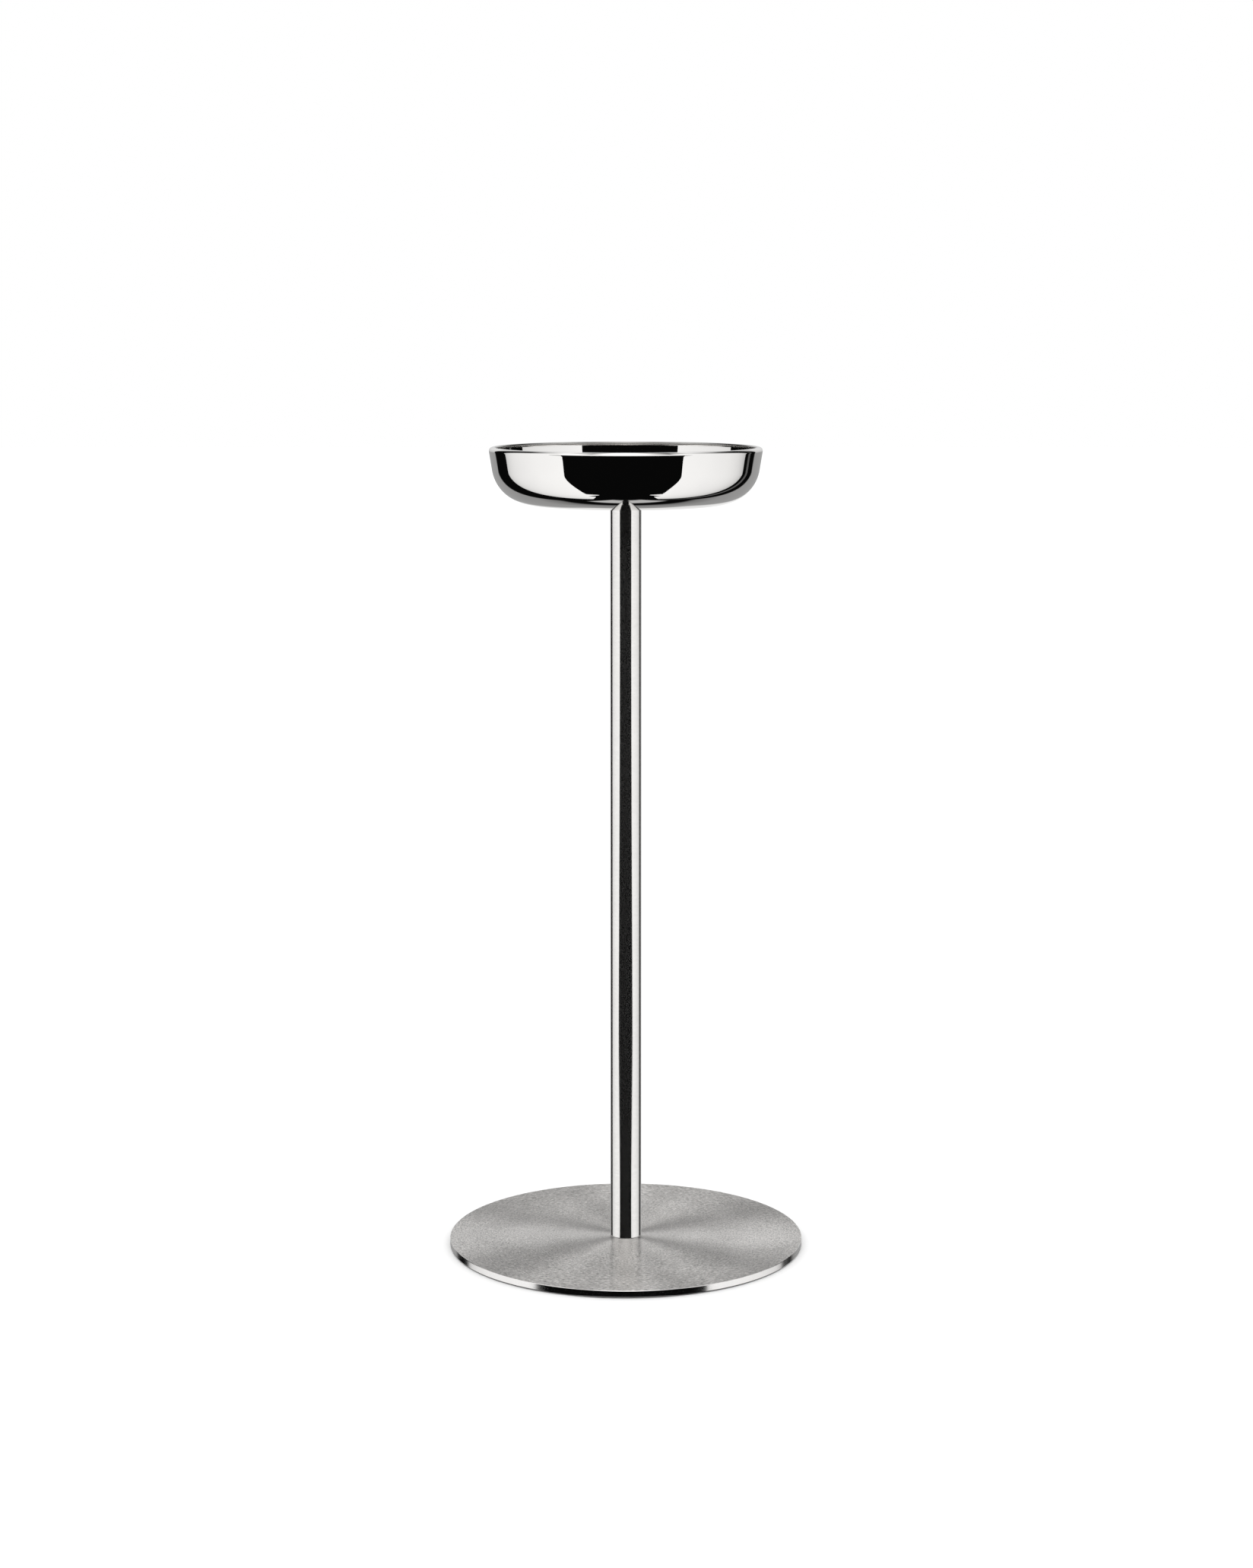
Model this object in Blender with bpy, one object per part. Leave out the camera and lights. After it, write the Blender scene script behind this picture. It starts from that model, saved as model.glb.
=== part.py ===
"""Champagne bucket stand: a round tray on a straight tube, screwed to a heavy round plate.

The origin is on the floor, in the middle of the stand. Z is up. Every length is in metres.
"""

import math

import bmesh
import bpy
from mathutils import Matrix

# Overall sizes
TOTAL_HEIGHT = 0.648
TRAY_RADIUS = 0.1092
TRAY_HEIGHT = 0.0462
PLATE_RADIUS = 0.143
POST_RADIUS = 0.0125

# Clearance between two pieces that touch
GAP = 0.0003

# Tray: pressed sheet whose rim is folded inwards into a flat lip
TRAY_SHEET = 0.0015
RIM_ROUND_RADIUS = 0.0028
RIM_LIP_WIDTH = 0.0056
RIM_LIP_THICKNESS = 0.0021
WALL_TAPER = math.radians(9.4)
CORNER_RADIUS = 0.0318
BELLY_RADIUS = 0.0456
BELLY_ANGLE = math.radians(24)

# Post: drawn tube
TUBE_WALL = 0.0015
TUBE_CHAMFER = 0.0003

# Base plate and the pad under it
PLATE_THICKNESS = 0.005
PLATE_CHAMFER = 0.00025
PAD_THICKNESS = 0.0007
PAD_INSET = 0.004
PAD_HOLE_RADIUS = 0.014

# Threads and the screw that holds the plate
THREAD_RADIUS = 0.004
THREAD_DEPTH = 0.0006
THREAD_PITCH = 0.00125
SCREW_HEAD_RADIUS = 0.0078
SCREW_HEAD_RIM = 0.0004
SCREW_REACH = 0.013
SOCKET_RADIUS = 0.0029
SOCKET_DEPTH = 0.0024

# Plugs fixed inside the tube's two ends
INSERT_LENGTH = 0.022
INSERT_GROOVE_WIDTH = 0.002
INSERT_GROOVE_DEPTH = 0.0006
INSERT_GROOVES = 3
INSERT_CHAMFER = 0.0006

# Turned spigot under the tray, and the thin ring between its shoulder and the upper plug
SPIGOT_SHOULDER = 0.004
SPIGOT_REACH = 0.014
SPIGOT_CHAMFER = 0.0005
SEAT_RING_THICKNESS = 0.0008
SEAT_RING_INSET = 0.0012

# Toothed washer between the plate and the lower plug
WASHER_THICKNESS = 0.0008
WASHER_WIDTH = 0.0034
WASHER_TOOTH_DEPTH = 0.0009
WASHER_TEETH = 10

# Sides of the round pieces
TRAY_SEGMENTS = 64
PLATE_SEGMENTS = 96
TUBE_SEGMENTS = 48
SMALL_SEGMENTS = 24

# Heights that follow from the sizes above
PLATE_BOTTOM = PAD_THICKNESS + GAP
PLATE_TOP = PLATE_BOTTOM + PLATE_THICKNESS
TUBE_BOTTOM = PLATE_TOP + GAP
TRAY_UNDERSIDE = TOTAL_HEIGHT - TRAY_HEIGHT
TUBE_TOP = TRAY_UNDERSIDE - GAP
TUBE_BORE = POST_RADIUS - TUBE_WALL
INSERT_RADIUS = TUBE_BORE - GAP
THREAD_HOLE = THREAD_RADIUS + GAP
WASHER_BOTTOM = PLATE_TOP + GAP
LOWER_INSERT_BOTTOM = WASHER_BOTTOM + WASHER_THICKNESS + GAP
SPIGOT_TOP = TRAY_UNDERSIDE - GAP
SHOULDER_BOTTOM = SPIGOT_TOP - SPIGOT_SHOULDER
SEAT_RING_TOP = SHOULDER_BOTTOM - GAP
SEAT_RING_BOTTOM = SEAT_RING_TOP - SEAT_RING_THICKNESS
UPPER_INSERT_TOP = SEAT_RING_BOTTOM - GAP


def clear_scene():
    for obj in list(bpy.data.objects):
        bpy.data.objects.remove(obj, do_unlink=True)


def make_material(name, colour, roughness, metallic):
    material = bpy.data.materials.new(name)
    material.use_nodes = True
    shader = material.node_tree.nodes["Principled BSDF"]
    shader.inputs["Base Color"].default_value = (*colour, 1.0)
    shader.inputs["Roughness"].default_value = roughness
    shader.inputs["Metallic"].default_value = metallic
    material.diffuse_color = (*colour, 1.0)
    return material


def add_object(name, mesh, material):
    """Puts the mesh in the scene as one smooth-shaded object that keeps its real edges sharp."""
    mesh.materials.append(material)
    mesh.shade_smooth()
    mesh.set_sharp_from_angle(angle=math.radians(30))
    obj = bpy.data.objects.new(name, mesh)
    bpy.context.scene.collection.objects.link(obj)
    return obj


def arc(centre, radius, start, end, steps):
    """Points along an arc in the (radius, height) plane. Angles are from the outward direction."""
    points = []
    for step in range(steps + 1):
        angle = start + (end - start) * step / steps
        points.append((centre[0] + radius * math.cos(angle), centre[1] + radius * math.sin(angle)))
    return points


def turned(name, outline, segments, closed, material):
    """Turns an outline of (radius, height) points around the Z axis into a solid.

    A closed outline makes a ring. An open one starts and ends on the axis.
    """
    shape = bmesh.new()
    verts = [shape.verts.new((radius, 0.0, height)) for radius, height in outline]
    pairs = list(zip(verts, verts[1:]))
    if closed:
        pairs.append((verts[-1], verts[0]))
    edges = [shape.edges.new(pair) for pair in pairs]
    bmesh.ops.spin(
        shape,
        geom=verts + edges,
        cent=(0.0, 0.0, 0.0),
        axis=(0.0, 0.0, 1.0),
        angle=math.tau,
        steps=segments,
        use_merge=True,
    )
    bmesh.ops.remove_doubles(shape, verts=shape.verts, dist=1e-7)
    bmesh.ops.recalc_face_normals(shape, faces=shape.faces)
    mesh = bpy.data.meshes.new(name)
    shape.to_mesh(mesh)
    shape.free()
    return add_object(name, mesh, material)


def cut(target, cutter):
    """Takes the cutter's shape out of the target and hides the cutter."""
    cutter.hide_render = True
    cutter.display_type = "WIRE"
    modifier = target.modifiers.new("cut_" + cutter.name, "BOOLEAN")
    modifier.operation = "DIFFERENCE"
    modifier.solver = "EXACT"
    modifier.object = cutter


def thread_outline(low, high):
    """Crests and roots of a thread, drawn as rings, from the lower height to the higher one."""
    turns = max(1, int((high - low) / THREAD_PITCH))
    pitch = (high - low) / turns
    points = []
    for turn in range(turns):
        points.append((THREAD_RADIUS - THREAD_DEPTH, low + pitch * turn))
        points.append((THREAD_RADIUS, low + pitch * (turn + 0.5)))
    points.append((THREAD_RADIUS - THREAD_DEPTH, high))
    return points


def tray_outline():
    """The sheet's section: flat floor, belly arc, corner arc, leaning wall, lip folded inwards."""
    rim = (TRAY_RADIUS - RIM_ROUND_RADIUS, TOTAL_HEIGHT - RIM_ROUND_RADIUS)
    # The wall's outer line touches the rim's round, so distances are counted along the wall's normal.
    wall_line = rim[0] * math.cos(WALL_TAPER) - rim[1] * math.sin(WALL_TAPER) + RIM_ROUND_RADIUS
    step = BELLY_RADIUS - CORNER_RADIUS
    corner_height = TRAY_UNDERSIDE + BELLY_RADIUS - step * math.cos(BELLY_ANGLE)
    corner_reach = wall_line - CORNER_RADIUS + corner_height * math.sin(WALL_TAPER)
    corner = (corner_reach / math.cos(WALL_TAPER), corner_height)
    belly = (corner[0] - step * math.sin(BELLY_ANGLE), TRAY_UNDERSIDE + BELLY_RADIUS)
    down = -math.pi / 2
    meet = down + BELLY_ANGLE
    outer = [(0.0, TRAY_UNDERSIDE)]
    outer += arc(belly, BELLY_RADIUS, down, meet, 4)
    outer += arc(corner, CORNER_RADIUS, meet, -WALL_TAPER, 7)[1:]
    # The lip: round outside, flat top, half-round nose, flat underside back to the wall's inner face.
    nose_radius = RIM_LIP_THICKNESS / 2
    nose = (TRAY_RADIUS - RIM_LIP_WIDTH + nose_radius, TOTAL_HEIGHT - nose_radius)
    lip_underside = TOTAL_HEIGHT - RIM_LIP_THICKNESS
    inner_reach = wall_line - TRAY_SHEET + lip_underside * math.sin(WALL_TAPER)
    lip = arc(rim, RIM_ROUND_RADIUS, -WALL_TAPER, 0.0, 1)
    lip += arc(rim, RIM_ROUND_RADIUS, 0.0, math.pi / 2, 4)[1:]
    lip += arc(nose, nose_radius, math.pi / 2, 3 * math.pi / 2, 6)
    lip.append((inner_reach / math.cos(WALL_TAPER), lip_underside))
    inner = arc(corner, CORNER_RADIUS - TRAY_SHEET, -WALL_TAPER, meet, 7)
    inner += arc(belly, BELLY_RADIUS - TRAY_SHEET, meet, down, 4)[1:]
    inner.append((0.0, TRAY_UNDERSIDE + TRAY_SHEET))
    return outer + lip + inner


def make_tray(material):
    return turned("tray", tray_outline(), TRAY_SEGMENTS, False, material)


def make_tray_spigot(material):
    """Turned disc that is welded under the tray and centres it in the tube, with the thread below."""
    shoulder = TUBE_BORE - GAP
    thread_end = SHOULDER_BOTTOM - SPIGOT_REACH
    outline = [(0.0, thread_end - THREAD_DEPTH)]
    outline.append((THREAD_RADIUS - 2 * THREAD_DEPTH, thread_end - THREAD_DEPTH))
    outline += thread_outline(thread_end, SHOULDER_BOTTOM)
    outline.append((shoulder - SPIGOT_CHAMFER, SHOULDER_BOTTOM))
    outline.append((shoulder, SHOULDER_BOTTOM + SPIGOT_CHAMFER))
    outline.append((shoulder, SPIGOT_TOP))
    outline.append((0.0, SPIGOT_TOP))
    return turned("tray_spigot", outline, SMALL_SEGMENTS, False, material)


def make_seat_ring(material):
    """Thin plastic ring round the thread, pinched between the spigot's shoulder and the upper plug."""
    outer = INSERT_RADIUS - SEAT_RING_INSET
    inner = THREAD_HOLE
    outline = [
        (inner, SEAT_RING_BOTTOM),
        (outer, SEAT_RING_BOTTOM),
        (outer, SEAT_RING_TOP),
        (inner, SEAT_RING_TOP),
    ]
    return turned("seat_ring", outline, SMALL_SEGMENTS, True, material)


def make_post_tube(material):
    chamfer = TUBE_CHAMFER
    outline = [
        (TUBE_BORE + chamfer, TUBE_BOTTOM),
        (POST_RADIUS, TUBE_BOTTOM),
        (POST_RADIUS, TUBE_TOP),
        (TUBE_BORE + chamfer, TUBE_TOP),
        (TUBE_BORE, TUBE_TOP - chamfer),
        (TUBE_BORE, TUBE_BOTTOM + chamfer),
    ]
    return turned("post_tube", outline, TUBE_SEGMENTS, True, material)


def make_insert(name, bottom, material):
    """Threaded plug with glue grooves around it, fixed in an end of the tube."""
    top = bottom + INSERT_LENGTH
    root = INSERT_RADIUS - INSERT_GROOVE_DEPTH
    outline = [(THREAD_HOLE + INSERT_CHAMFER, bottom), (INSERT_RADIUS - INSERT_CHAMFER, bottom)]
    outline.append((INSERT_RADIUS, bottom + INSERT_CHAMFER))
    spacing = INSERT_LENGTH / (INSERT_GROOVES + 1)
    for groove in range(INSERT_GROOVES):
        low = bottom + spacing * (groove + 1) - INSERT_GROOVE_WIDTH / 2
        high = low + INSERT_GROOVE_WIDTH
        outline += [(INSERT_RADIUS, low), (root, low), (root, high), (INSERT_RADIUS, high)]
    outline.append((INSERT_RADIUS, top - INSERT_CHAMFER))
    outline.append((INSERT_RADIUS - INSERT_CHAMFER, top))
    outline.append((THREAD_HOLE + INSERT_CHAMFER, top))
    outline.append((THREAD_HOLE, top - INSERT_CHAMFER))
    outline.append((THREAD_HOLE, bottom + INSERT_CHAMFER))
    return turned(name, outline, SMALL_SEGMENTS, True, material)


def make_lock_washer(material):
    """Flat washer with teeth around its outside, which stops the post from turning on the plate."""
    inner = THREAD_HOLE
    tip = inner + WASHER_WIDTH
    root = tip - WASHER_TOOTH_DEPTH
    corners = WASHER_TEETH * 4
    shape = bmesh.new()
    rings = []
    for height in (WASHER_BOTTOM, WASHER_BOTTOM + WASHER_THICKNESS):
        inside = []
        outside = []
        for corner in range(corners):
            angle = math.tau * corner / corners
            reach = tip if corner % 4 < 2 else root
            inside.append(shape.verts.new((inner * math.cos(angle), inner * math.sin(angle), height)))
            outside.append(shape.verts.new((reach * math.cos(angle), reach * math.sin(angle), height)))
        rings += [inside, outside]
    low_in, low_out, high_in, high_out = rings
    for first, second in ((low_in, low_out), (low_out, high_out), (high_out, high_in), (high_in, low_in)):
        for corner in range(corners):
            after = (corner + 1) % corners
            shape.faces.new((first[corner], first[after], second[after], second[corner]))
    bmesh.ops.recalc_face_normals(shape, faces=shape.faces)
    mesh = bpy.data.meshes.new("lock_washer")
    shape.to_mesh(mesh)
    shape.free()
    return add_object("lock_washer", mesh, material)


def make_base_plate(material):
    """Heavy round plate with a countersunk hole in its middle for the screw."""
    head = SCREW_HEAD_RADIUS + GAP
    cone_top = PLATE_BOTTOM + SCREW_HEAD_RIM + head - THREAD_HOLE
    outline = [
        (head, PLATE_BOTTOM),
        (PLATE_RADIUS - PLATE_CHAMFER, PLATE_BOTTOM),
        (PLATE_RADIUS, PLATE_BOTTOM + PLATE_CHAMFER),
        (PLATE_RADIUS, PLATE_TOP - PLATE_CHAMFER),
        (PLATE_RADIUS - PLATE_CHAMFER, PLATE_TOP),
        (THREAD_HOLE, PLATE_TOP),
        (THREAD_HOLE, cone_top),
        (head, PLATE_BOTTOM + SCREW_HEAD_RIM),
    ]
    return turned("base_plate", outline, PLATE_SEGMENTS, True, material)


def make_base_screw(material):
    """Countersunk screw with a hexagon socket, driven up from below through the plate."""
    head_bottom = PLATE_BOTTOM
    cone_bottom = head_bottom + SCREW_HEAD_RIM
    neck = cone_bottom + SCREW_HEAD_RADIUS - THREAD_RADIUS
    thread_start = PLATE_TOP
    thread_end = LOWER_INSERT_BOTTOM + SCREW_REACH
    outline = [(0.0, head_bottom), (SCREW_HEAD_RADIUS, head_bottom)]
    outline.append((SCREW_HEAD_RADIUS, cone_bottom))
    outline.append((THREAD_RADIUS, neck))
    outline.append((THREAD_RADIUS, thread_start))
    outline += thread_outline(thread_start + THREAD_DEPTH, thread_end)
    outline.append((THREAD_RADIUS - 2 * THREAD_DEPTH, thread_end + THREAD_DEPTH))
    outline.append((0.0, thread_end + THREAD_DEPTH))
    screw = turned("base_screw", outline, SMALL_SEGMENTS, False, material)
    cut(screw, make_socket_cutter(head_bottom, material))
    return screw


def make_socket_cutter(face, material):
    """Six-sided prism that starts below the screw's face, so that it cuts clear through it."""
    depth = SOCKET_DEPTH * 2
    shape = bmesh.new()
    bmesh.ops.create_cone(
        shape,
        cap_ends=True,
        segments=6,
        radius1=SOCKET_RADIUS,
        radius2=SOCKET_RADIUS,
        depth=depth,
        matrix=Matrix.Translation((0.0, 0.0, face)),
    )
    mesh = bpy.data.meshes.new("socket_cutter")
    shape.to_mesh(mesh)
    shape.free()
    return add_object("socket_cutter", mesh, material)


def make_base_pad(material):
    """Thin non-slip disc under the plate, open in the middle so that the screw can be reached."""
    outer = PLATE_RADIUS - PAD_INSET
    outline = [
        (PAD_HOLE_RADIUS, 0.0),
        (outer, 0.0),
        (outer, PAD_THICKNESS),
        (PAD_HOLE_RADIUS, PAD_THICKNESS),
    ]
    return turned("base_pad", outline, PLATE_SEGMENTS, True, material)


def main():
    clear_scene()
    mirror_steel = make_material("mirror_steel", (0.78, 0.77, 0.76), 0.03, 1.0)
    satin_steel = make_material("satin_steel", (0.72, 0.71, 0.69), 0.28, 1.0)
    turned_steel = make_material("turned_steel", (0.70, 0.69, 0.67), 0.34, 1.0)
    machined_steel = make_material("machined_steel", (0.60, 0.60, 0.59), 0.35, 1.0)
    black_rubber = make_material("black_rubber", (0.02, 0.02, 0.02), 0.85, 0.0)
    clear_nylon = make_material("clear_nylon", (0.75, 0.75, 0.72), 0.45, 0.0)
    make_tray(mirror_steel)
    make_tray_spigot(machined_steel)
    make_seat_ring(clear_nylon)
    make_post_tube(satin_steel)
    make_insert("upper_insert", UPPER_INSERT_TOP - INSERT_LENGTH, machined_steel)
    make_insert("lower_insert", LOWER_INSERT_BOTTOM, machined_steel)
    make_lock_washer(machined_steel)
    make_base_plate(turned_steel)
    make_base_screw(machined_steel)
    make_base_pad(black_rubber)


main()
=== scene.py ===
import bpy
import bmesh
import math
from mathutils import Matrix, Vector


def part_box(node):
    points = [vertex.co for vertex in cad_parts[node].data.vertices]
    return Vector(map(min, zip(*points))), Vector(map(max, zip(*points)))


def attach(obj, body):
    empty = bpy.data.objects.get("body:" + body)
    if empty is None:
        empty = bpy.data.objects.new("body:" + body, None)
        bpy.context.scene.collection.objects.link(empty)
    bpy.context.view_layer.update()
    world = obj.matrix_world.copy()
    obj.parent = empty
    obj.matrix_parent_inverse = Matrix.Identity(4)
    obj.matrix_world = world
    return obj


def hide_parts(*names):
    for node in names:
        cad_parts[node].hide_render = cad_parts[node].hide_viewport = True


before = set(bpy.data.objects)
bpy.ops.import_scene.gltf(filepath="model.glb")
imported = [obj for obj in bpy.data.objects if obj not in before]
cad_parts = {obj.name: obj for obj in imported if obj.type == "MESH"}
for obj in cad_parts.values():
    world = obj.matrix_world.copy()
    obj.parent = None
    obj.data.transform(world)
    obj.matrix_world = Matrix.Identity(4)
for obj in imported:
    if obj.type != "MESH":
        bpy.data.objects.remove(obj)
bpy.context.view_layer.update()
print("stand loaded:", len(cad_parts), "CAD pieces")

# camera in front of the post, looking along +Y
cameraView = {
    "distance": 2.369,
    "height": 0.749,
    "tilt": 0.09,        # radians below level
    "lens": 68.28,
    "shiftX": 0.0004,
    "shiftY": -0.125,    # keeps the post nearly upright and the stand in the middle
}


def addCamera(view):
    data = bpy.data.cameras.new("standCamera")
    data.lens = view["lens"]
    data.sensor_width = 36
    data.shift_x = view["shiftX"]
    data.shift_y = view["shiftY"]
    camera = bpy.data.objects.new("standCamera", data)
    camera.location = (0, -view["distance"], view["height"])
    camera.rotation_euler = (math.pi / 2 - view["tilt"], 0, 0)
    bpy.context.scene.collection.objects.link(camera)
    bpy.context.scene.camera = camera


addCamera(cameraView)
print("camera ready")


# short ways to build node trees
def newMaterial(name):
    material = bpy.data.materials.new(name)
    material.use_nodes = True
    tree = material.node_tree
    return material, tree, tree.nodes["Principled BSDF"]


def addNode(tree, kind, values=None, links=None, **settings):
    node = tree.nodes.new(kind)
    for key, value in settings.items():
        setattr(node, key, value)
    for key, value in (values or {}).items():
        node.inputs[key].default_value = value
    for key, socket in (links or {}).items():
        tree.links.new(socket, node.inputs[key])
    return node


def mathNode(tree, operation, first, second=None):
    node = addNode(tree, "ShaderNodeMath", operation=operation)
    for index, value in enumerate((first, second)):
        if value is None:
            continue
        if isinstance(value, (int, float)):
            node.inputs[index].default_value = value
        else:
            tree.links.new(value, node.inputs[index])
    return node.outputs[0]


def noiseNode(tree, vector, scale, detail=3.0, roughness=0.55):
    values = {"Scale": scale, "Detail": detail, "Roughness": roughness}
    return addNode(tree, "ShaderNodeTexNoise", values, {"Vector": vector}).outputs["Fac"]


def toneNode(tree, factor, low, high, lowColour, highColour):
    node = addNode(tree, "ShaderNodeValToRGB", links={"Fac": factor})
    node.color_ramp.elements[0].position = low
    node.color_ramp.elements[0].color = (*lowColour, 1)
    node.color_ramp.elements[1].position = high
    node.color_ramp.elements[1].color = (*highColour, 1)
    return node.outputs["Color"]


def rangeNode(tree, value, low, high, toLow, toHigh):
    node = addNode(tree, "ShaderNodeMapRange", {1: low, 2: high, 3: toLow, 4: toHigh}, {0: value})
    return node.outputs[0]


def addBump(tree, shader, height, strength, distance):
    bump = addNode(tree, "ShaderNodeBump", {"Strength": strength, "Distance": distance}, {"Height": height})
    tree.links.new(bump.outputs[0], shader.inputs["Normal"])


def blendNode(tree, first, second, share):
    kept = mathNode(tree, "MULTIPLY", first, share)
    return mathNode(tree, "ADD", kept, mathNode(tree, "MULTIPLY", second, 1 - share))


# The floor is evenly lit. Only the metal sees what stands round it: see room and sideCards below.
studio = {
    "floorSize": 30.0,
    "floorGrey": 0.9,
    "floorRoughness": 0.9,
    "skyForCamera": 1.0,
    "skyForFloor": 1.25,
}

# What the metal sees far away, as pairs of elevation in degrees and glow, by where it stands.
room = {
    "front": [(-90, 0.003), (18, 0.003), (20.5, 1.3), (90, 1.3)],
    "side": [(-90, 0.003), (15, 0.003), (42, 0.03), (50, 0.35), (70, 0.6), (90, 1.2)],
    "back": [
        (-90, 0.003), (-82, 0.003), (-79, 0.6), (-69, 0.6), (-66, 0.003), (-56, 0.003), (-52, 0.22),
        (-40, 0.36), (-4, 0.4), (0, 0.7), (20, 0.82), (30, 0.6), (40, 0.5), (50, 0.9), (90, 1.1),
    ],
    # The ceiling's bars all run to the point that a level plate mirrors to the front.
    # Each pair is a bar's angle there and what it does to the glow.
    "bars": [
        (-90, 1.15), (-66, 1.0), (-49, 0.05), (-38, 1.5), (-27, 1.7), (-15, 0.5), (-8, 1.3),
        (0, 1.9), (8, 1.2), (19, 0.2), (29, 1.6), (39, 1.4), (56, 0.05), (72, 1.0), (90, 1.15),
    ],
    "barsFrom": 4,         # elevations between which they fade in, at the sides and the back
    "barsUntil": 12,
    "frontBarsFrom": 40,   # and in front
    "frontBarsUntil": 55,
    "barsMeet": 0.954,     # how far back that point is on a dome of radius 1
    "offCentre": 2.25,     # the room is turned a little to the left
    "sideFrom": 80,        # degrees round from the camera
    "sideUntil": 100,
    "backFrom": 140.5,
    "backUntil": 142.5,
    "stripFrom": 171,      # paler strip in the middle of the back
    "stripUntil": 174,
    "stripLow": -34,
    "stripHigh": 0,
    "stripBlur": 2,        # degrees to either side of its ends
    "stripGlow": 0.55,
}

# White cards beside the stand, and a dim strip past the right one's far edge.
# Each runs from its front edge, near the post, to its far edge.
# The front edge isn't straight: setBack pairs each height with how far it is drawn back there.
sideCards = {
    "cardLeft": {
        "front": (-0.195, -0.197),
        "far": (-1.060, 0.563),
        "glow": 1.25,
        "farGlow": 0.74,
        "setBack": [
            (1.0, 0.055), (0.7, 0.055), (0.66, 0), (0.45, 0), (0.38, 0.005), (0.31, 0.014), (0.24, 0.027),
            (0.17, 0.04), (0.1, 0.052), (-0.02, 0), (-0.085, 0), (-0.14, 0.12), (-0.4, 0.12),
        ],
    },
    "cardRight": {
        "front": (0.177, -0.211),
        "far": (1.060, 0.530),
        "glow": 1.25,
        "farGlow": 0.6,
        "setBack": [
            (1.0, 0.034), (0.7, 0.034), (0.66, 0), (0.45, 0), (0.38, 0.005), (0.31, 0.014), (0.24, 0.027),
            (0.17, 0.04), (0.1, 0.052), (-0.02, 0), (-0.085, 0), (-0.14, 0.12), (-0.4, 0.12),
        ],
    },
    "cardStrip": {
        "front": (1.230, 0.790),
        "far": (1.180, 0.860),
        "glow": 0.12,
        "farGlow": 0.12,
        "setBack": [(1.6, 0), (-4.0, 0)],
    },
}
cardHeights = {"low": -3.6, "high": 0.65}   # at the far edge


def glowMaterial(name, nearGlow, farGlow):
    material = bpy.data.materials.new(name)
    material.use_nodes = True
    tree = material.node_tree
    tree.nodes.clear()
    place = addNode(tree, "ShaderNodeUVMap")
    across = addNode(tree, "ShaderNodeSeparateXYZ", links={0: place.outputs[0]})
    strength = rangeNode(tree, across.outputs[0], 0, 1, nearGlow, farGlow)
    light = addNode(tree, "ShaderNodeEmission", links={"Strength": strength})
    addNode(tree, "ShaderNodeOutputMaterial", links={"Surface": light.outputs[0]})
    return material


def addCard(name, card, heights):
    (nearX, nearY), (farX, farY) = card["front"], card["far"]
    length = math.hypot(farX - nearX, farY - nearY)
    outline = [(1, heights["low"]), (1, heights["high"])]
    outline += [(setBack / length, height) for height, setBack in card["setBack"]]
    corners = [(nearX + (farX - nearX) * share, nearY + (farY - nearY) * share, z) for share, z in outline]
    mesh = bpy.data.meshes.new(name)
    mesh.from_pydata(corners, [], [tuple(range(len(corners)))])
    across = mesh.uv_layers.new(name="across")
    for loop, (share, z) in enumerate(outline):
        across.data[loop].uv = (share, 0)
    mesh.materials.append(glowMaterial(name, card["glow"], card["farGlow"]))
    obj = bpy.data.objects.new(name, mesh)
    bpy.context.scene.collection.objects.link(obj)
    obj.visible_camera = False
    obj.visible_diffuse = False
    obj.visible_shadow = False


def addFloor(look):
    half = look["floorSize"] / 2
    mesh = bpy.data.meshes.new("studioFloor")
    corners = [(-half, -half, 0), (half, -half, 0), (half, half, 0), (-half, half, 0)]
    mesh.from_pydata(corners, [], [(0, 1, 2, 3)])
    material, tree, shader = newMaterial("studioFloor")
    grey = look["floorGrey"]
    shader.inputs["Base Color"].default_value = (grey, grey, grey, 1)
    shader.inputs["Roughness"].default_value = look["floorRoughness"]
    shader.inputs["Specular IOR Level"].default_value = 0.0
    mesh.materials.append(material)
    floor = bpy.data.objects.new("studioFloor", mesh)
    bpy.context.scene.collection.objects.link(floor)
    floor.visible_glossy = False   # the metal sees the room below the floor line instead


# a value by angle; the ramp's own colours can't pass 1, so the largest value scales them
def rampValue(tree, angle, stops):
    least, greatest = stops[0][0], stops[-1][0]   # -90 and 90
    most = max(value for stop, value in stops)
    share = rangeNode(tree, angle, least, greatest, 0, 1)
    ramp = addNode(tree, "ShaderNodeValToRGB", links={"Fac": share})
    elements = ramp.color_ramp.elements
    while len(elements) < len(stops):
        elements.new(0.5)
    for element, (stop, value) in zip(elements, stops):
        grey = value / most
        element.position = (stop - least) / (greatest - least)
        element.color = (grey, grey, grey, 1)
    return mathNode(tree, "MULTIPLY", ramp.outputs["Color"], most)


# what the ceiling's bars do to the glow, fading in between two elevations
def barGain(tree, look, x, y, elevation, low, high):
    reach = mathNode(tree, "SUBTRACT", look["barsMeet"], y)
    bar = mathNode(tree, "DEGREES", mathNode(tree, "ARCTAN2", x, reach))
    gain = mathNode(tree, "SUBTRACT", rampValue(tree, bar, look["bars"]), 1.0)
    share = rangeNode(tree, elevation, low, high, 0, 1)
    return mathNode(tree, "ADD", mathNode(tree, "MULTIPLY", gain, share), 1.0)


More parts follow.
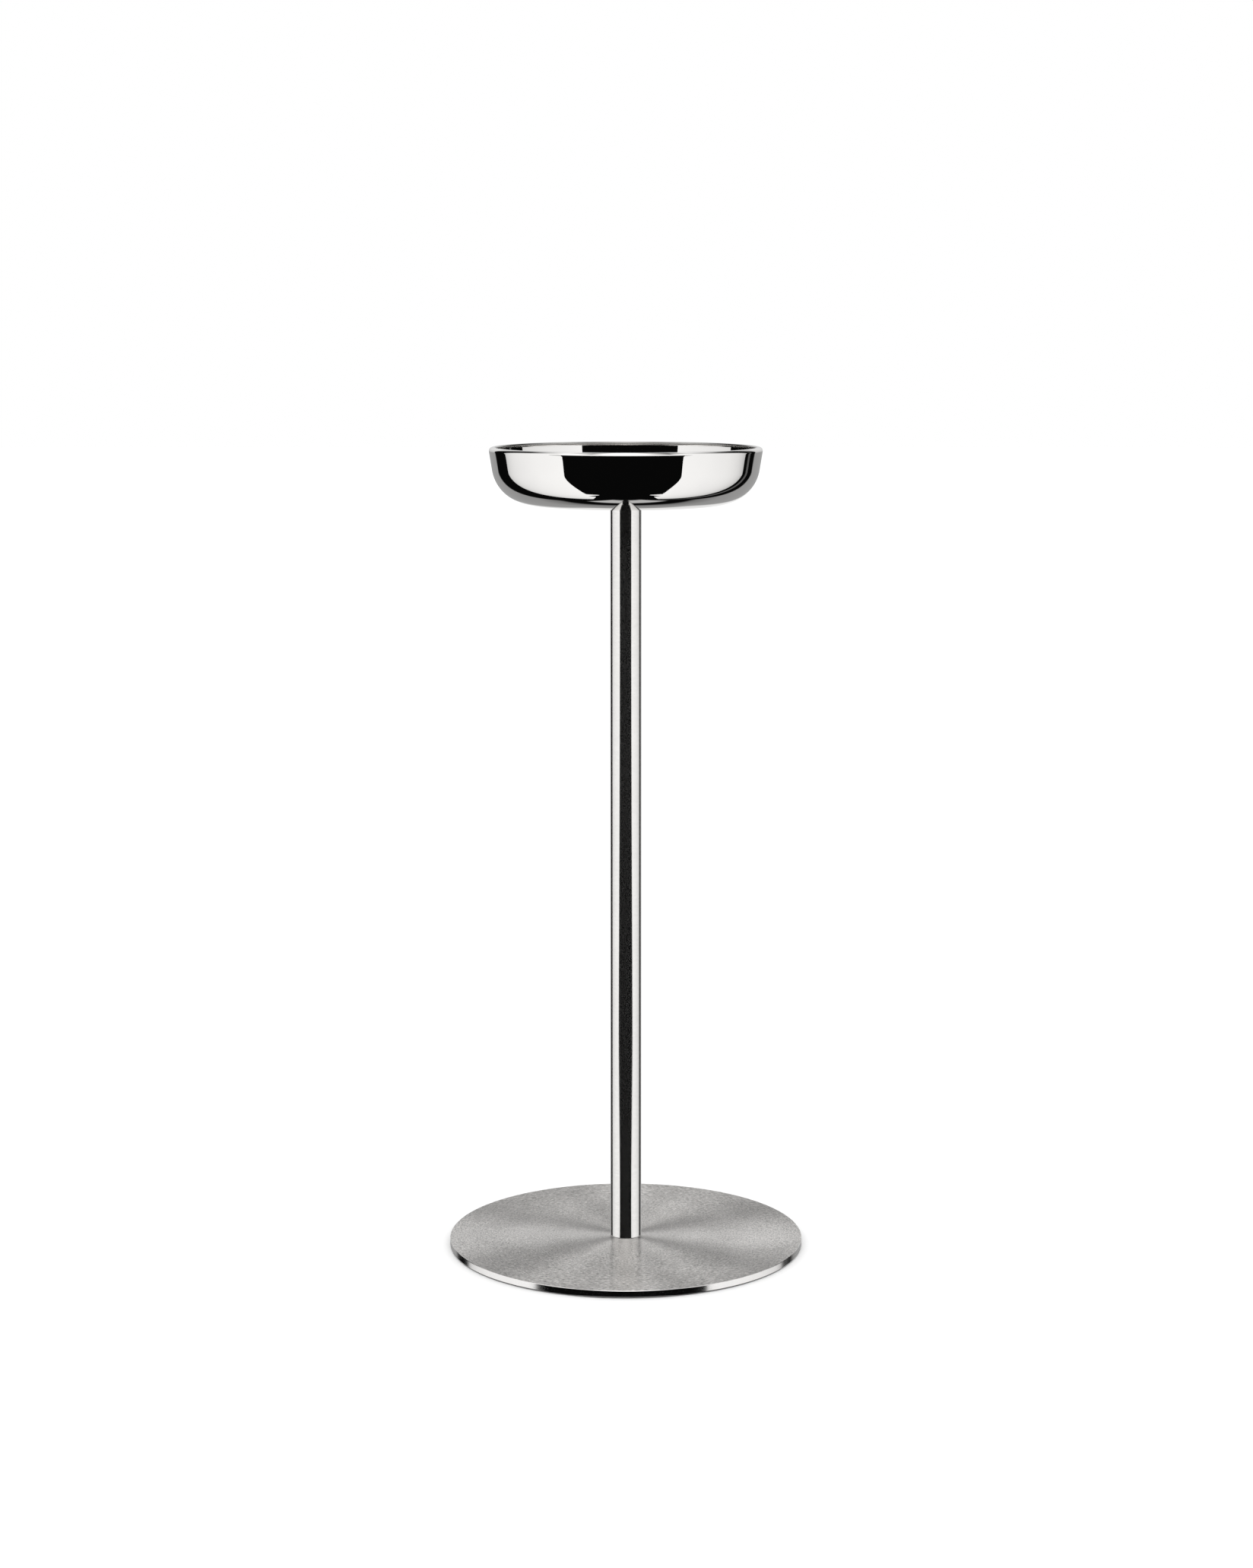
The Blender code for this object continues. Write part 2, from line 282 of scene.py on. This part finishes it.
# the front, then the sides and the back laid over it by how far round the look goes
def roomGlow(tree, look):
    place = addNode(tree, "ShaderNodeTexCoord").outputs["Generated"]
    x, y, z = addNode(tree, "ShaderNodeSeparateXYZ", links={0: place}).outputs
    elevation = mathNode(tree, "DEGREES", mathNode(tree, "ARCSINE", z))
    around = mathNode(tree, "DEGREES", mathNode(tree, "ARCTAN2", x, mathNode(tree, "MULTIPLY", y, -1.0)))
    turn = mathNode(tree, "ABSOLUTE", mathNode(tree, "ADD", around, look["offCentre"]))
    frontGain = barGain(tree, look, x, y, elevation, look["frontBarsFrom"], look["frontBarsUntil"])
    glow = mathNode(tree, "MULTIPLY", rampValue(tree, elevation, look["front"]), frontGain)
    gain = barGain(tree, look, x, y, elevation, look["barsFrom"], look["barsUntil"])
    for part in ("side", "back"):
        share = rangeNode(tree, turn, look[part + "From"], look[part + "Until"], 0, 1)
        kept = mathNode(tree, "MULTIPLY", glow, mathNode(tree, "SUBTRACT", 1.0, share))
        barred = mathNode(tree, "MULTIPLY", rampValue(tree, elevation, look[part]), gain)
        glow = mathNode(tree, "ADD", kept, mathNode(tree, "MULTIPLY", barred, share))
    middle = rangeNode(tree, turn, look["stripFrom"], look["stripUntil"], 0, look["stripGlow"])
    low, high, blur = look["stripLow"], look["stripHigh"], look["stripBlur"]
    above = rangeNode(tree, elevation, low - blur, low + blur, 0, 1)
    below = rangeNode(tree, elevation, high - blur, high + blur, 1, 0)
    strip = mathNode(tree, "MULTIPLY", middle, mathNode(tree, "MULTIPLY", above, below))
    return mathNode(tree, "ADD", glow, strip)


def addSky(look, metalLook):
    world = bpy.data.worlds.new("studioSky")
    bpy.context.scene.world = world
    world.use_nodes = True
    world.cycles.sampling_method = "NONE"   # light that differs by ray can't be sampled as a lamp
    tree = world.node_tree
    tree.nodes.clear()
    path = addNode(tree, "ShaderNodeLightPath")
    isCamera = path.outputs["Is Camera Ray"]
    isGlossy = path.outputs["Is Glossy Ray"]
    camera = mathNode(tree, "MULTIPLY", isCamera, look["skyForCamera"])
    glossy = mathNode(tree, "MULTIPLY", isGlossy, roomGlow(tree, metalLook))
    others = mathNode(tree, "SUBTRACT", mathNode(tree, "SUBTRACT", 1.0, isCamera), isGlossy)
    diffuse = mathNode(tree, "MULTIPLY", others, look["skyForFloor"])
    total = mathNode(tree, "ADD", mathNode(tree, "ADD", camera, glossy), diffuse)
    sky = addNode(tree, "ShaderNodeBackground", {"Color": (1, 1, 1, 1)}, {"Strength": total})
    addNode(tree, "ShaderNodeOutputWorld", links={"Surface": sky.outputs[0]})


bpy.context.scene.view_settings.view_transform = "Standard"
addFloor(studio)
addSky(studio, room)
for cardName, card in sideCards.items():
    addCard(cardName, card, cardHeights)
print("studio ready")

# Lines run round the post's axis and follow each other along its height or outwards on the plate.
turning = {
    "fineShare": 0.35,           # fine grain, the rest is longer strokes
    "strokeAround": 0.4,         # the strokes' scale as a share of the grain's
    "strokeAcross": 0.3,
    "lineRange": (0.35, 0.65),   # where the lines' noise mostly lies
    "bumpDistance": 0.0001,
    "highlightTurn": 0.25,       # the highlight lies across the lines
    "axisRadius": 0.0001,        # keeps the division sound on the axis
}


def aroundAxis(tree, place, aroundScale, acrossScale, across):
    x, y, z = addNode(tree, "ShaderNodeSeparateXYZ", links={0: place}).outputs
    squares = mathNode(tree, "ADD", mathNode(tree, "MULTIPLY", x, x), mathNode(tree, "MULTIPLY", y, y))
    radius = mathNode(tree, "SQRT", squares)
    safe = mathNode(tree, "MAXIMUM", radius, turning["axisRadius"])
    along = z if across == "height" else radius
    vector = addNode(tree, "ShaderNodeCombineXYZ", links={
        0: mathNode(tree, "MULTIPLY", mathNode(tree, "DIVIDE", x, safe), aroundScale),
        1: mathNode(tree, "MULTIPLY", mathNode(tree, "DIVIDE", y, safe), aroundScale),
        2: mathNode(tree, "MULTIPLY", along, acrossScale),
    })
    return vector.outputs[0]


def mirrorSteel(name, look):
    material, tree, shader = newMaterial(name)
    place = addNode(tree, "ShaderNodeTexCoord").outputs["Object"]
    cloud = noiseNode(tree, place, look["cloudScale"], detail=2.0)
    haze = noiseNode(tree, place, look["hazeScale"], detail=4.0)
    colour = toneNode(tree, cloud, *look["cloudRange"], look["darkTone"], look["lightTone"])
    tree.links.new(colour, shader.inputs["Base Color"])
    hazy = rangeNode(tree, haze, *look["hazeRange"], look["roughness"], look["hazyRoughness"])
    tree.links.new(hazy, shader.inputs["Roughness"])
    ripple = noiseNode(tree, place, look["rippleScale"], detail=1.0)
    addBump(tree, shader, ripple, look["ripple"], look["rippleDistance"])
    shader.inputs["Metallic"].default_value = 1.0
    return material


def turnedSteel(name, look, across):
    material, tree, shader = newMaterial(name)
    place = addNode(tree, "ShaderNodeTexCoord").outputs["Object"]
    around, along = look["aroundScale"], look["acrossScale"]
    fine = aroundAxis(tree, place, around, along, across)
    strokeAround = around * turning["strokeAround"]
    strokeAlong = along * turning["strokeAcross"]
    coarse = aroundAxis(tree, place, strokeAround, strokeAlong, across)
    grain = noiseNode(tree, fine, 1.0, detail=3.0, roughness=0.6)
    strokes = noiseNode(tree, coarse, 1.0, detail=4.0, roughness=0.7)
    cloud = noiseNode(tree, place, look["cloudScale"], detail=2.0)
    lines = blendNode(tree, grain, strokes, turning["fineShare"])
    mixed = blendNode(tree, lines, cloud, look["grainShare"])
    spread = look["toneSpread"]
    colour = toneNode(tree, mixed, 0.5 - spread, 0.5 + spread, look["darkTone"], look["lightTone"])
    tree.links.new(colour, shader.inputs["Base Color"])
    least = look["roughness"] - look["roughnessSpread"]
    most = look["roughness"] + look["roughnessSpread"]
    tree.links.new(rangeNode(tree, lines, *turning["lineRange"], least, most), shader.inputs["Roughness"])
    addBump(tree, shader, lines, look["grainDepth"], turning["bumpDistance"])
    tangent = addNode(tree, "ShaderNodeTangent", direction_type="RADIAL", axis="Z")
    tree.links.new(tangent.outputs[0], shader.inputs["Tangent"])
    shader.inputs["Metallic"].default_value = look["metallic"]
    shader.inputs["Anisotropic"].default_value = look["anisotropy"]
    shader.inputs["Anisotropic Rotation"].default_value = turning["highlightTurn"]
    return material


# sections are drawn as pairs of radius and height, and turned round the post's axis
section = {
    "arcStep": 0.035,                # radians between an arc's points
    "sharpFrom": math.radians(30),   # edges sharper than this stay crisp
    "onAxis": 1e-7,
}


def arcPoints(centre, radius, start, end, step=section["arcStep"]):
    steps = max(2, math.ceil(abs(end - start) / step))
    points = []
    for index in range(steps + 1):
        angle = start + (end - start) * index / steps
        points.append((centre[0] + radius * math.cos(angle), centre[1] + radius * math.sin(angle)))
    return points


# points that cut a straight run into equal lengths, without its two ends
def pointsBetween(start, end, lengths=4):
    shares = [index / lengths for index in range(1, lengths)]
    return [tuple(a + (b - a) * share for a, b in zip(start, end)) for share in shares]


# An open outline starts and ends on the axis, a closed one makes a ring.
# The faces of otherSteps take the second material.
def turnOutline(name, outline, sides, closed=False, otherSteps=()):
    shape = bmesh.new()
    columns = []
    for radius, height in outline:
        if radius < section["onAxis"]:
            columns.append([shape.verts.new((0, 0, height))])
        else:
            ring = []
            for side in range(sides):
                angle = math.tau * side / sides
                ring.append(shape.verts.new((radius * math.cos(angle), radius * math.sin(angle), height)))
            columns.append(ring)
    pairs = list(zip(range(len(columns)), range(1, len(columns))))
    if closed:
        pairs.append((len(columns) - 1, 0))
    for first, second in pairs:
        low, high = columns[first], columns[second]
        for side in range(sides):
            after = (side + 1) % sides
            if len(low) == 1:
                face = shape.faces.new((low[0], high[after], high[side]))
            elif len(high) == 1:
                face = shape.faces.new((low[side], low[after], high[0]))
            else:
                face = shape.faces.new((low[side], low[after], high[after], high[side]))
            face.material_index = int(first in otherSteps)
    bmesh.ops.recalc_face_normals(shape, faces=shape.faces)
    mesh = bpy.data.meshes.new(name)
    shape.to_mesh(mesh)
    shape.free()
    mesh.shade_smooth()
    mesh.set_sharp_from_angle(angle=section["sharpFrom"])
    obj = bpy.data.objects.new(name, mesh)
    bpy.context.scene.collection.objects.link(obj)
    return obj


def standsFor(obj, node, slot, *materials):
    for material in materials:
        obj.data.materials.append(material)
    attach(obj, "root")
    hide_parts(node)


# tray: pressed sheet, its rim folded inwards into a flat lip
tray = {
    "sheet": 0.0015,
    "rimRound": 0.0028,
    "lipWidth": 0.0056,
    "lipThickness": 0.0021,
    "taper": math.radians(9.4),
    "corner": 0.0318,
    "belly": 0.0456,
    "bellyAngle": math.radians(24),
    "rimArcStep": 0.09,
    "noseArcStep": 0.16,
    "sides": 256,
}

trayFinish = {
    "lightTone": (0.745, 0.735, 0.722),
    "darkTone": (0.72, 0.71, 0.7),
    "cloudScale": 25.0,
    "cloudRange": (0.35, 0.65),
    "hazeScale": 90.0,
    "hazeRange": (0.4, 0.75),
    "roughness": 0.015,
    "hazyRoughness": 0.03,
    "rippleScale": 60.0,
    "ripple": 0.01,
    "rippleDistance": 0.0001,
}

# A darker copy of the tray's steel for the lip's nose: its lower tone is painted shade on the fold, its
# higher roughness is the fold's own.
lipShadedFinish = dict(trayFinish, lightTone=(0.4, 0.395, 0.385), darkTone=(0.37, 0.365, 0.355))
lipShadedFinish.update(roughness=0.2, hazyRoughness=0.24)


# gives the section, and which of its steps belong to the lip's nose
def trayOutline(size, low, high):
    rim = (high.x - size["rimRound"], high.z - size["rimRound"])
    taper = size["taper"]
    wallLine = rim[0] * math.cos(taper) - rim[1] * math.sin(taper) + size["rimRound"]
    inset = size["belly"] - size["corner"]
    cornerHeight = low.z + size["belly"] - inset * math.cos(size["bellyAngle"])
    corner = ((wallLine - size["corner"] + cornerHeight * math.sin(taper)) / math.cos(taper), cornerHeight)
    belly = (corner[0] - inset * math.sin(size["bellyAngle"]), low.z + size["belly"])
    up = math.pi / 2
    down = -up
    meet = down + size["bellyAngle"]
    # outside: flat floor, belly, corner, wall, round rim
    outline = [(0, low.z), (belly[0] / 2, low.z)]
    outline += arcPoints(belly, size["belly"], down, meet)
    outline += arcPoints(corner, size["corner"], meet, -taper)[1:]
    wallTop = (rim[0] + size["rimRound"] * math.cos(taper), rim[1] - size["rimRound"] * math.sin(taper))
    outline += pointsBetween(outline[-1], wallTop)
    outline += arcPoints(rim, size["rimRound"], -taper, up, size["rimArcStep"])
    # the lip's half-round nose, then its underside back to the wall
    noseRadius = size["lipThickness"] / 2
    nose = (high.x - size["lipWidth"] + noseRadius, high.z - noseRadius)
    noseStart = len(outline)
    outline += arcPoints(nose, noseRadius, up, up + math.pi, size["noseArcStep"])
    noseSteps = range(noseStart, len(outline) - 1)
    lipUnderside = high.z - size["lipThickness"]
    innerReach = wallLine - size["sheet"] + lipUnderside * math.sin(taper)
    outline.append((innerReach / math.cos(taper), lipUnderside))
    # inside, one sheet away from the outside
    outline += arcPoints(corner, size["corner"] - size["sheet"], -taper, meet)
    outline += arcPoints(belly, size["belly"] - size["sheet"], meet, down)[1:]
    outline += [(belly[0] / 2, low.z + size["sheet"]), (0, low.z + size["sheet"])]
    return outline, noseSteps


trayLow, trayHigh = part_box("tray")
traySection, noseSteps = trayOutline(tray, trayLow, trayHigh)
trayShell = turnOutline("trayShell", traySection, tray["sides"], otherSteps=noseSteps)
trayMaterials = mirrorSteel("trayMirror", trayFinish), mirrorSteel("lipEdgePaintedShade", lipShadedFinish)
standsFor(trayShell, "tray", "mirror_steel", *trayMaterials)
print("tray ready")

# post: drawn tube, brushed round its axis
post = {"wall": 0.0015, "innerEdge": 0.0003, "outerEdge": 0.00015, "lengths": 8, "sides": 128}

postFinish = {
    "lightTone": (0.76, 0.75, 0.735),
    "darkTone": (0.68, 0.67, 0.655),
    "toneSpread": 0.14,
    "aroundScale": 6.0,
    "acrossScale": 2200.0,
    "cloudScale": 60.0,
    "grainShare": 0.8,
    "roughness": 0.15,
    "roughnessSpread": 0.01,
    "grainDepth": 0.002,
    "metallic": 0.99,
    "anisotropy": 0.85,
}


def tubeOutline(size, low, high):
    bore = high.x - size["wall"]
    inner, outer = size["innerEdge"], size["outerEdge"]
    outline = [(bore + inner, low.z), (high.x - outer, low.z), (high.x, low.z + outer)]
    outline += pointsBetween((high.x, low.z), (high.x, high.z), size["lengths"])
    outline += [(high.x, high.z - outer), (high.x - outer, high.z)]
    outline += [(bore + inner, high.z), (bore, high.z - inner), (bore, low.z + inner)]
    return outline


postLow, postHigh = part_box("post_tube")
postTube = turnOutline("postTube", tubeOutline(post, postLow, postHigh), post["sides"], closed=True)
standsFor(postTube, "post_tube", "satin_steel", turnedSteel("postSatin", postFinish, "height"))
print("post ready")

# base plate: turned on its top, polished round its edge
plate = {"edge": 0.00025, "sides": 256, "bore": 0.0043, "head": 0.0081, "headRim": 0.0004}

plateFinish = {
    "lightTone": (0.84, 0.82, 0.8),
    "darkTone": (0.2, 0.194, 0.187),
    "toneSpread": 0.11,
    "aroundScale": 100.0,
    "acrossScale": 2600.0,
    "cloudScale": 14.0,
    "grainShare": 0.85,
    "roughness": 0.33,
    "roughnessSpread": 0.06,
    "grainDepth": 0.15,
    "metallic": 1.0,
    "anisotropy": 0.95,
}

edgeFinish = dict(trayFinish, roughness=0.15, hazyRoughness=0.2)


# gives the section, and which of its steps are the polished edge
def plateOutline(size, low, high):
    edge, bore, head = size["edge"], size["bore"], size["head"]
    outline = [(head, low.z)] + pointsBetween((head, low.z), (high.x, low.z))
    edgeStart = len(outline)
    outline += [(high.x - edge, low.z), (high.x, low.z + edge)]
    outline += [(high.x, high.z - edge), (high.x - edge, high.z)]
    edgeSteps = range(edgeStart, len(outline) - 1)
    outline += pointsBetween((high.x, high.z), (bore, high.z))
    # the screw's hole, and the slope that its head lies in
    slopeFoot = low.z + size["headRim"]
    outline += [(bore, high.z), (bore, slopeFoot + head - bore), (head, slopeFoot)]
    return outline, edgeSteps


plateLow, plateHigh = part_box("base_plate")
plateSection, edgeSteps = plateOutline(plate, plateLow, plateHigh)
basePlate = turnOutline("basePlate", plateSection, plate["sides"], closed=True, otherSteps=edgeSteps)
plateMaterials = turnedSteel("plateTurned", plateFinish, "radius"), mirrorSteel("plateEdge", edgeFinish)
standsFor(basePlate, "base_plate", "turned_steel", *plateMaterials)

# no mirror shows the plate or the pad: the foot of the post mirrors the room in their place
for passedOver in (basePlate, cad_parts["base_pad"]):
    passedOver.visible_glossy = False
print("base plate ready")

# pieces that keep their CAD shape
machinedFinish = {
    "lightTone": (0.64, 0.64, 0.63),
    "darkTone": (0.5, 0.5, 0.49),
    "toneSpread": 0.14,
    "aroundScale": 8.0,
    "acrossScale": 1800.0,
    "cloudScale": 80.0,
    "grainShare": 0.7,
    "roughness": 0.36,
    "roughnessSpread": 0.06,
    "grainDepth": 0.06,
    "metallic": 1.0,
    "anisotropy": 0.5,
}

rubberFinish = {
    "tone": (0.018, 0.018, 0.019),
    "dust": (0.04, 0.039, 0.037),
    "roughness": 0.75,
    "roughnessSpread": 0.08,
    "dustRange": (0.35, 0.7),
    "grainRange": (0.3, 0.7),
    "grainScale": 900.0,
    "grainDepth": 0.3,
    "grainDistance": 0.0002,
}

nylonFinish = dict(rubberFinish, tone=(0.78, 0.78, 0.75), dust=(0.7, 0.7, 0.66))
nylonFinish.update(roughness=0.4, grainScale=500.0, grainDepth=0.1)


def mattePolymer(name, look):
    material, tree, shader = newMaterial(name)
    place = addNode(tree, "ShaderNodeTexCoord").outputs["Object"]
    grain = noiseNode(tree, place, look["grainScale"], detail=3.0)
    colour = toneNode(tree, grain, *look["dustRange"], look["tone"], look["dust"])
    tree.links.new(colour, shader.inputs["Base Color"])
    least = look["roughness"] - look["roughnessSpread"]
    most = look["roughness"] + look["roughnessSpread"]
    tree.links.new(rangeNode(tree, grain, *look["grainRange"], least, most), shader.inputs["Roughness"])
    addBump(tree, shader, grain, look["grainDepth"], look["grainDistance"])
    return material


def refinish(material, *nodeNames):
    for nodeName in nodeNames:
        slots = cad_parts[nodeName].data.materials
        slots.clear()
        slots.append(material)


machined = turnedSteel("machinedSteel", machinedFinish, "height")
refinish(machined, "tray_spigot", "upper_insert", "lower_insert", "lock_washer", "base_screw")
refinish(mattePolymer("padRubber", rubberFinish), "base_pad")
refinish(mattePolymer("ringNylon", nylonFinish), "seat_ring")
print("small pieces ready")
